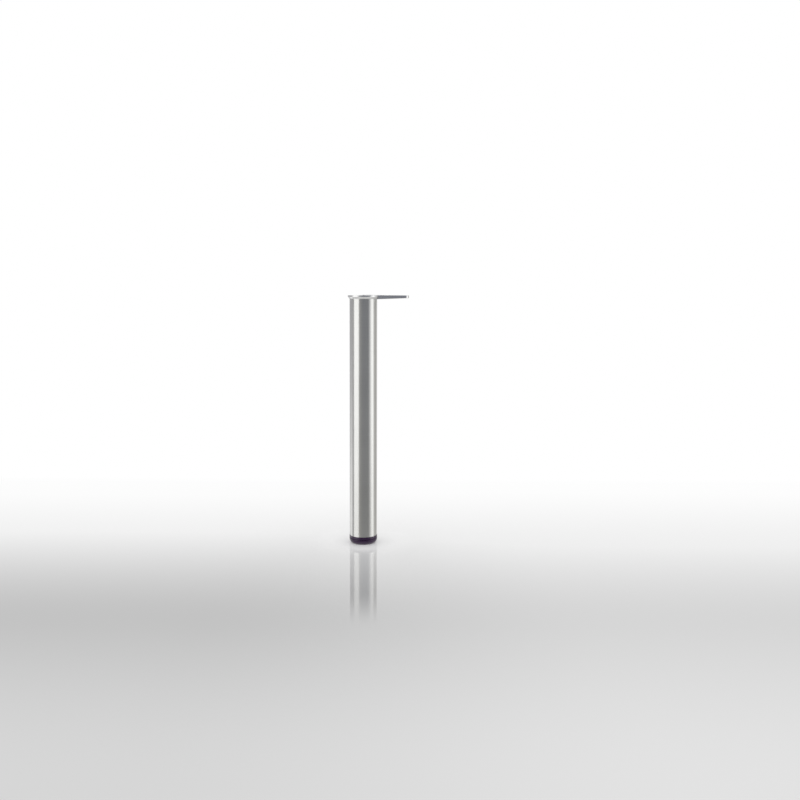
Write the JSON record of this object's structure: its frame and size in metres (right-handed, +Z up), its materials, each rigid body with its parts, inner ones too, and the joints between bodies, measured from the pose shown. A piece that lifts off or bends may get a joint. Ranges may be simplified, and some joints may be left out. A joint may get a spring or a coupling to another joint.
{
  "type": "table leg",
  "caption": "Round brushed steel table leg with a cast corner plate that screws under a table and a black plastic screw foot for levelling.",
  "frame": {"origin": "on the floor under the tube's axis, with the foot screwed right in", "axes": "+Z up along the tube; the plate's arms run along +X and +Y, and the picture looks along +Y"},
  "size_m": [0.176, 0.176, 0.725],
  "materials": {
    "cast_plate": "satin",
    "black_steel": "satin",
    "brushed_tube": "satin",
    "black_plastic": "satin",
    "plated_steel": "satin"
  },
  "bodies": {
    "stud": {"foot_stud": "plated_steel"},
    "leg": {"mounting_plate": "cast_plate", "clamp_screws": "black_steel", "leg_tube": "brushed_tube", "foot_plug": "black_plastic", "plug_nut": "plated_steel"},
    "foot": {"foot_pad": "black_plastic"}
  },
  "joints": [
    {"name": "foot_height", "type": "slide", "parent": "stud", "child": "leg", "axis": [0, 0, 1], "range_m": [0, 0.025]},
    {"name": "foot_turn", "type": "hinge", "parent": "stud", "child": "foot", "pos_m": [0, 0, 0], "axis": [0, 0, -1], "range_deg": [0, 6000]}
  ],
  "couplings": [
    {"joint": "foot_turn", "follows": "foot_height", "rad_per_m": 4188.8}
  ]
}
